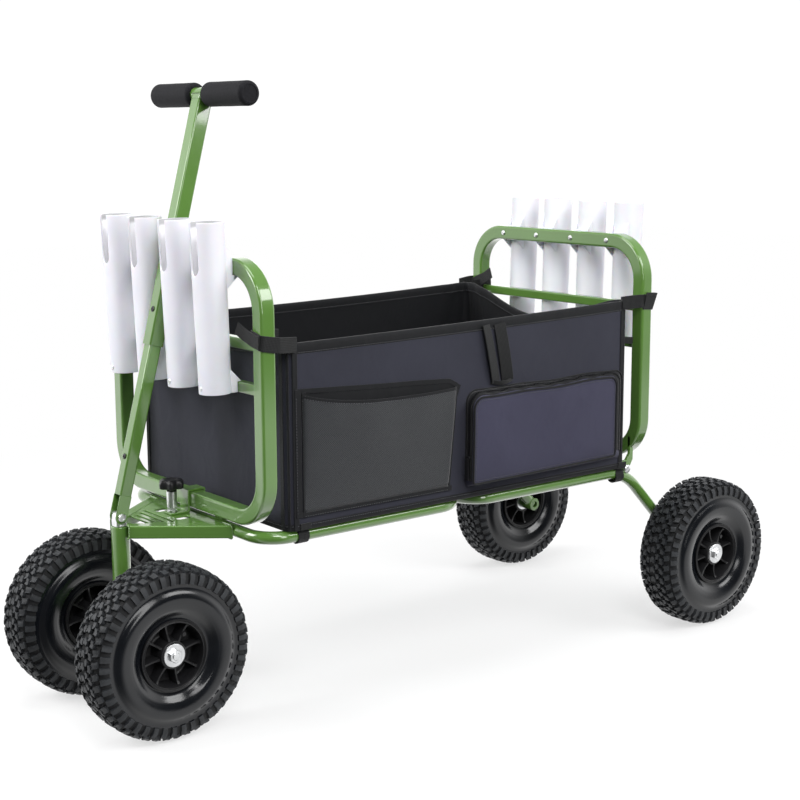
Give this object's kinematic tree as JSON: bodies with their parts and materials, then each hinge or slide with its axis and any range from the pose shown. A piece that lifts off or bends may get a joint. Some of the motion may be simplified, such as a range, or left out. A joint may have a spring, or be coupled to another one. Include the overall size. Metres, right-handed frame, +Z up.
{
  "type": "fishing trolley",
  "caption": "Steel fishing cart with a fabric basket, rod holders at both ends, a steered front axle, pneumatic wheels and a folding T-handle.",
  "frame": {"origin": "On the ground under the middle of the wheelbase, between the left and right wheels.", "axes": "+X towards the handle and the steered axle, +Y to the left seen from behind, the side with the pockets, +Z up."},
  "size_m": [1.307, 0.591, 0.9601],
  "materials": {
    "green_paint": "glossy powder coat",
    "zinc_steel": "bright zinc plate",
    "white_plastic": "satin white",
    "black_plastic": "moulded, satin",
    "tyre_rubber": "matte rubber",
    "black_foam": "soft foam",
    "basket_fabric": "coated woven cloth",
    "pocket_fabric": "coated woven cloth",
    "pocket_mesh": "open mesh",
    "webbing": "woven webbing"
  },
  "bodies": {
    "chassis": {"bed_frame_front": "green_paint", "bed_frame_rear": "green_paint", "bed_joint_bolt_left": "zinc_steel", "bed_joint_bolt_right": "zinc_steel", "end_frame_front": "green_paint", "end_frame_rear": "green_paint", "crossbar_front_upper": "green_paint", "crossbar_front_lower": "green_paint", "crossbar_rear_upper": "green_paint", "crossbar_rear_lower": "green_paint", "rear_bracket_left": "green_paint", "rear_bracket_right": "green_paint", "rear_axle_sleeve_left": "green_paint", "rear_axle_sleeve_right": "green_paint", "rear_axle_bolt_left": "zinc_steel", "rear_axle_bolt_right": "zinc_steel", "drawbar_tube_left": "green_paint", "drawbar_tube_right": "green_paint", "drawbar_gusset": "green_paint", "head_tube": "green_paint", "frame_saddle": "green_paint", "basket": "basket_fabric", "mesh_pocket": "pocket_mesh", "zip_pocket": "pocket_fabric", "rod_holder_front_1": "white_plastic", "rod_holder_front_2": "white_plastic", "rod_holder_front_3": "white_plastic", "rod_holder_front_4": "white_plastic", "rod_holder_rear_1": "white_plastic", "rod_holder_rear_2": "white_plastic", "rod_holder_rear_3": "white_plastic", "rod_holder_rear_4": "white_plastic", "strap_front_left": "webbing", "strap_front_right": "webbing", "strap_rear_left": "webbing", "strap_rear_right": "webbing"},
    "steering": {"steering_stem": "green_paint", "steering_lug": "zinc_steel", "front_axle_tube": "green_paint", "front_axle_rod": "zinc_steel"},
    "handle": {"handle_lower_tube": "green_paint", "handle_upper_tube": "green_paint", "handle_cross_tube": "green_paint", "grip_left": "black_foam", "grip_right": "black_foam", "handle_pivot_bolt": "zinc_steel"},
    "wheel_front_left": {"tyre_front_left": "tyre_rubber", "rim_front_left": "black_plastic", "bearing_front_left": "zinc_steel"},
    "wheel_front_right": {"tyre_front_right": "tyre_rubber", "rim_front_right": "black_plastic", "bearing_front_right": "zinc_steel"},
    "wheel_rear_left": {"tyre_rear_left": "tyre_rubber", "rim_rear_left": "black_plastic", "bearing_rear_left": "zinc_steel"},
    "wheel_rear_right": {"tyre_rear_right": "tyre_rubber", "rim_rear_right": "black_plastic", "bearing_rear_right": "zinc_steel"},
    "clamp": {"clamp_knob": "black_plastic", "clamp_stud": "zinc_steel"}
  },
  "joints": [
    {"name": "steering_turn", "type": "hinge", "parent": "chassis", "child": "steering", "pos_m": [0.5205, 0, 0.2], "axis": [0, 0, 1], "range_deg": [-4, 4]},
    {"name": "handle_tilt", "type": "hinge", "parent": "steering", "child": "handle", "pos_m": [0.5225, 0, 0.312], "axis": [0, 1, 0], "range_deg": [0, 118]},
    {"name": "wheel_spin_front_left", "type": "hinge", "parent": "steering", "child": "wheel_front_left", "pos_m": [0.5205, 0.121, 0.1325], "axis": [0, 1, 0], "continuous": true},
    {"name": "wheel_spin_front_right", "type": "hinge", "parent": "steering", "child": "wheel_front_right", "pos_m": [0.5205, -0.121, 0.1325], "axis": [0, 1, 0], "continuous": true},
    {"name": "wheel_spin_rear_left", "type": "hinge", "parent": "chassis", "child": "wheel_rear_left", "pos_m": [-0.5205, 0.254, 0.1325], "axis": [0, 1, 0], "continuous": true},
    {"name": "wheel_spin_rear_right", "type": "hinge", "parent": "chassis", "child": "wheel_rear_right", "pos_m": [-0.5205, -0.254, 0.1325], "axis": [0, 1, 0], "continuous": true},
    {"name": "clamp_turn", "type": "hinge", "parent": "chassis", "child": "clamp", "pos_m": [0.4295, 0, 0.347], "axis": [0, 0, 1], "range_deg": [0, 720]}
  ]
}
